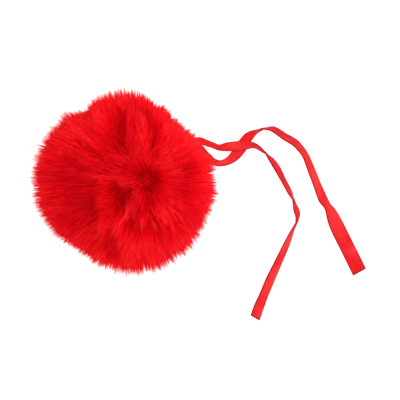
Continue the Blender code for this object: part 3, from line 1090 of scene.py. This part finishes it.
    # A blade for each hair: a strip of unit height whose upper corners are merged to a point
    blade = board.wire("GeometryNodeMeshGrid", {
        "Size X": 2.0, "Size Y": 1.0, "Vertices X": 2, "Vertices Y": given["Segments"] + 1}, "Mesh")
    blade = board.store(blade, {"flank": board.axis(place, "X"), "along": board.axis(place, "Y") + 0.5})
    at_tip = board.wire("FunctionNodeCompare", {"A": board.number("along"), "B": 0.999},
                        operation="GREATER_THAN")
    blade = board.wire("GeometryNodeMergeByDistance", {
        "Geometry": blade, "Selection": at_tip, "Distance": 3.0})
    fur = board.wire("GeometryNodeInstanceOnPoints", {"Points": hairs, "Instance": blade})
    fur = board.wire("GeometryNodeRealizeInstances", {"Geometry": fur})

    # Bend the blades
    flank, along = board.number("flank"), board.number("along")
    share = 1.0 - (1.0 - along) ** habit.crowding
    left_over = 1.0 - share
    path = root * (left_over * left_over) + bend * (share * left_over * 2.0) + tip * (share * share)
    run = (bend - root) * left_over + (tip - bend) * share
    outward = path - given["Middle"]
    breadth = board.maths("NORMALIZE", board.maths("CROSS_PRODUCT", run, outward))
    facing = board.maths("NORMALIZE", board.maths("CROSS_PRODUCT", breadth, run))
    turn = board.number("turn")
    edge = breadth * board.maths("COSINE", turn) + facing * board.maths("SINE", turn)
    width = given["Hair Width"] * 0.5 * (1.0 - (share ** 3.0) * habit.taper)
    path = path + edge * (flank * width)
    height = board.axis(path, "Z")
    lifted = board.maths("MAXIMUM", height, board.number("rest")) - height
    splayed = board.maths("NORMALIZE", outward * (1.0, 1.0, 0.0)) * (lifted * habit.splay)
    rise = board.wire("ShaderNodeCombineXYZ", {"Z": lifted})
    fur = board.wire("GeometryNodeSetPosition", {"Geometry": fur, "Position": path + splayed + rise})

    # Its map: shade across and root to tip upwards, kept off the map's border
    tint = board.number("tint") * 0.96 + 0.02 + flank * 0.003
    map_place = board.wire("ShaderNodeCombineXYZ", {"X": tint, "Y": share * 0.98 + 0.01})
    fur = board.store(fur, {BAKE_MAP: map_place}, "FLOAT2", "CORNER")
    fur = board.wire("GeometryNodeSetShadeSmooth", {"Geometry": fur})
    fur = board.wire("GeometryNodeSetMaterial", {"Geometry": fur, "Material": given["Finish"]})
    return board.finish(fur)


@dataclass
class FurCoat:
    """The guard hair, one piece for each side of the ball."""

    pelt: Pelt
    ribbons: list[Object]
    lock_spacing: float = 3.8 * MM
    tuft_spacing: float = 0.9 * MM
    hair_width: float = 0.13 * MM
    segments: int = 4
    fly_away: float = 0.10
    thinning: float = 0.40  # of its length: how much shorter than the longest a hair may be
    overshoot: float = 0.05  # of its length: how far the longest pass the ball's reach
    spikes: float = 0.22  # of its length: how much further the longest tufts stand out
    seed: int = 7
    habit: Habit = field(default_factory=Habit)
    dye: FurDyeAndPaintedLight = field(default_factory=FurDyeAndPaintedLight)

    def dress(self) -> list[Object]:
        """Grow the fur and set it on the frame.

        Returns:
            The pieces.
        """
        roots = self.pelt.root_object()
        tree = grow_fur_tree(self.habit)
        finish = self.dye.material()
        area = sum(face.area for face in roots.data.polygons) / len(Side)
        pieces = []
        for side in Side:
            grown = new_object("fur_" + side.name.lower(), roots.data)
            modifier = grown.modifiers.new("grow_fur", "NODES")
            modifier.node_group = tree
            set_inputs(modifier, {
                "Side": side.value, "Density": side.hairs / area, "Lock Spacing": self.lock_spacing,
                "Tuft Spacing": self.tuft_spacing, "Hair Width": self.hair_width, "Segments": self.segments,
                "Fly-away": self.fly_away, "Thinning": self.thinning, "Overshoot": self.overshoot,
                "Spikes": self.spikes, "Middle": tuple(self.pelt.middle),
                "Ribbon One": self.ribbons[0], "Ribbon Two": self.ribbons[1], "Seed": self.seed,
                "Finish": finish})
            make_plain(grown, finish)
            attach(grown, "root")
            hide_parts("fur_ball")
            pieces.append(grown)
        bpy.data.objects.remove(roots)
        return pieces


def set_inputs(modifier: Modifier, values: dict[str, object]) -> None:
    """Set a Geometry Nodes modifier's inputs by the identifiers of their sockets.

    Args:
        modifier: the modifier.
        values: a value for each input's name.
    """
    for item in modifier.node_group.interface.items_tree:
        if item.item_type == "SOCKET" and item.in_out == "INPUT" and item.name in values:
            modifier[item.identifier] = values[item.name]


def make_plain(made: Object, finish: Material) -> None:
    """Turn what an object's modifiers make into its own plain mesh.

    Args:
        made: the object, which loses its modifiers.
        finish: the one material of that mesh.
    """
    graph = bpy.context.evaluated_depsgraph_get()
    mesh = bpy.data.meshes.new_from_object(
        made.evaluated_get(graph), preserve_all_data_layers=True, depsgraph=graph)
    made.modifiers.clear()
    made.data = mesh
    mesh.name = made.name
    for name in [a.name for a in mesh.attributes if not (a.is_internal or a.is_required)]:
        if name != BAKE_MAP:
            mesh.attributes.remove(mesh.attributes[name])
    mesh.materials.clear()
    mesh.materials.append(finish)


def new_mesh(name: str, places: Sequence[Sequence[float]], faces: Sequence[Sequence[int]]) -> Mesh:
    """Make a mesh.

    Args:
        name: its name.
        places: where its corners are.
        faces: the corners of each face.

    Returns:
        The mesh.
    """
    mesh = bpy.data.meshes.new(name)
    mesh.from_pydata(places, [], faces)
    return mesh


def new_object(name: str, data: ID) -> Object:
    """Put an object in the scene.

    Args:
        name: its name.
        data: what it shows or is: a mesh, a camera or a lamp.

    Returns:
        The object.
    """
    made = bpy.data.objects.new(name, data)
    bpy.context.scene.collection.objects.link(made)
    return made


def icosphere(divisions: int) -> tuple[np.ndarray, np.ndarray]:
    """An even sphere of radius 1.

    Args:
        divisions: how fine it is.

    Returns:
        Its points, and the three points of each face.
    """
    bpy.ops.mesh.primitive_ico_sphere_add(subdivisions=divisions, radius=1.0)
    made = bpy.context.object
    mesh = made.data
    places = np.empty(len(mesh.vertices) * 3)
    mesh.vertices.foreach_get("co", places)
    faces = np.empty(len(mesh.polygons) * 3, np.int32)
    mesh.polygons.foreach_get("vertices", faces)
    bpy.data.objects.remove(made)
    bpy.data.meshes.remove(mesh)
    return unit(places.reshape(-1, 3)), faces.reshape(-1, 3)


def norms(rows: np.ndarray) -> np.ndarray:
    """The length of each row."""
    return np.linalg.norm(rows, axis=1)


def unit(rows: np.ndarray) -> np.ndarray:
    """Each row at length 1."""
    return rows / norms(rows)[:, None]


def fade(values: np.ndarray, spread: float) -> np.ndarray:
    """1 where a value is 0, and less the further from 0 it is."""
    return np.exp(-(values / spread) ** 2)


def smooth_step(values: np.ndarray, low: float, high: float) -> np.ndarray:
    """A soft step from 0 at low to 1 at high."""
    share = np.clip((values - low) / (high - low), 0.0, 1.0)
    return share * share * (3.0 - 2.0 * share)


def smooth_steps(values: np.ndarray, first: float, steps: Sequence[Step]) -> np.ndarray:
    """Go softly from one value to the next.

    Args:
        values: where each result is wanted.
        first: the result before the first step.
        steps: the steps, in order.

    Returns:
        The result at each of those places.
    """
    result = np.full(len(values), first)
    for step in steps:
        result += (step.value - first) * smooth_step(values, step.low, step.high)
        first = step.value
    return result


# The studio


@dataclass(frozen=True)
class Studio:
    """A camera straight above, a white surface and soft light from the upper right."""

    over: tuple[float, float] = (36.5 * MM, -8.9 * MM)
    camera_height: float = 1.2
    seen: float = 200.0 * MM  # width of the surface that the picture takes in
    film: float = 36.0
    farthest: float = 20.0  # how far the camera sees
    floor_size: float = 4.0
    floor_drop: float = 0.1 * MM  # under the pom pom
    floor_grey: Colour = (0.7, 0.7, 0.7)
    floor_roughness: float = 0.9
    floor_gloss: float = 0.1
    floor_glow: float = 0.72
    white: Colour = (1.0, 1.0, 1.0)
    sky: float = 1.05
    key: float = 4.5
    key_place: tuple[float, float, float] = (0.50, 0.20, 0.90)
    key_size: float = 0.5

    def place_camera(self) -> None:
        """Hang the camera over the pom pom, looking straight down."""
        data = bpy.data.cameras.new("camera")
        data.sensor_width = self.film
        data.lens = self.film * self.camera_height / self.seen
        data.clip_end = self.farthest
        camera = new_object("camera", data)
        camera.location = (*self.over, self.camera_height)
        bpy.context.scene.camera = camera

    def light(self) -> None:
        """Light the pom pom, and the white surface that it lies on."""
        scene = bpy.context.scene
        scene.view_settings.view_transform = "Standard"
        scene.view_settings.look = "None"
        world = bpy.data.worlds.new("soft_room")
        world.use_nodes = True
        board = Board(world.node_tree)
        glow = board.wire("ShaderNodeBackground", {"Color": self.white, "Strength": self.sky})
        board.node("ShaderNodeOutputWorld", {"Surface": glow})
        scene.world = world
        data = bpy.data.lights.new("key", "AREA")
        data.energy = self.key
        data.size = self.key_size
        lamp = new_object("key", data)
        lamp.location = self.key_place
        lamp.rotation_euler = (-Vector(self.key_place)).to_track_quat("-Z", "Y").to_euler()
        self.lay_floor()

    def lay_floor(self) -> None:
        """Lay the white surface under the pom pom."""
        half = 0.5 * self.floor_size
        corners = [(x * half, y * half, -self.floor_drop) for x, y in ((-1, -1), (1, -1), (1, 1), (-1, 1))]
        mesh = new_mesh("white_surface", corners, [(0, 1, 2, 3)])
        material, board = start_material("white_surface", self.floor_grey)
        finish_material(board, {
            "Base Color": self.floor_grey, "Roughness": self.floor_roughness,
            "Specular IOR Level": self.floor_gloss, "Emission Color": self.white,
            "Emission Strength": self.floor_glow})
        mesh.materials.append(material)
        new_object("white_surface", mesh)


def main() -> None:
    """Dress the pom pom, piece by piece, and light it."""
    logging.basicConfig(level=logging.INFO, format="%(name)s: %(message)s")
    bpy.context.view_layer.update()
    studio = Studio()
    studio.place_camera()
    tails = [RibbonTail("tail_inner", INNER_ROUTE, INNER_TONES, cut_slant=-9.0),
             RibbonTail("tail_outer", OUTER_ROUTE, OUTER_TONES, cut_slant=3.0)]
    ribbons = [tail.dress() for tail in tails]
    low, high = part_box("fur_ball")
    reach = REACH_SHARE * (high.x - low.x) + REACH_MORE
    pelt = Pelt(middle=Vector((0.0, 0.0, high.z - reach)), reach=reach)
    for piece in (*ribbons, pelt.underfur(), *FurCoat(pelt, ribbons).dress()):
        piece.data.calc_loop_triangles()
        log.info("%s: %d triangles", piece.name, len(piece.data.loop_triangles))
    studio.light()


if __name__ == "__main__":
    main()
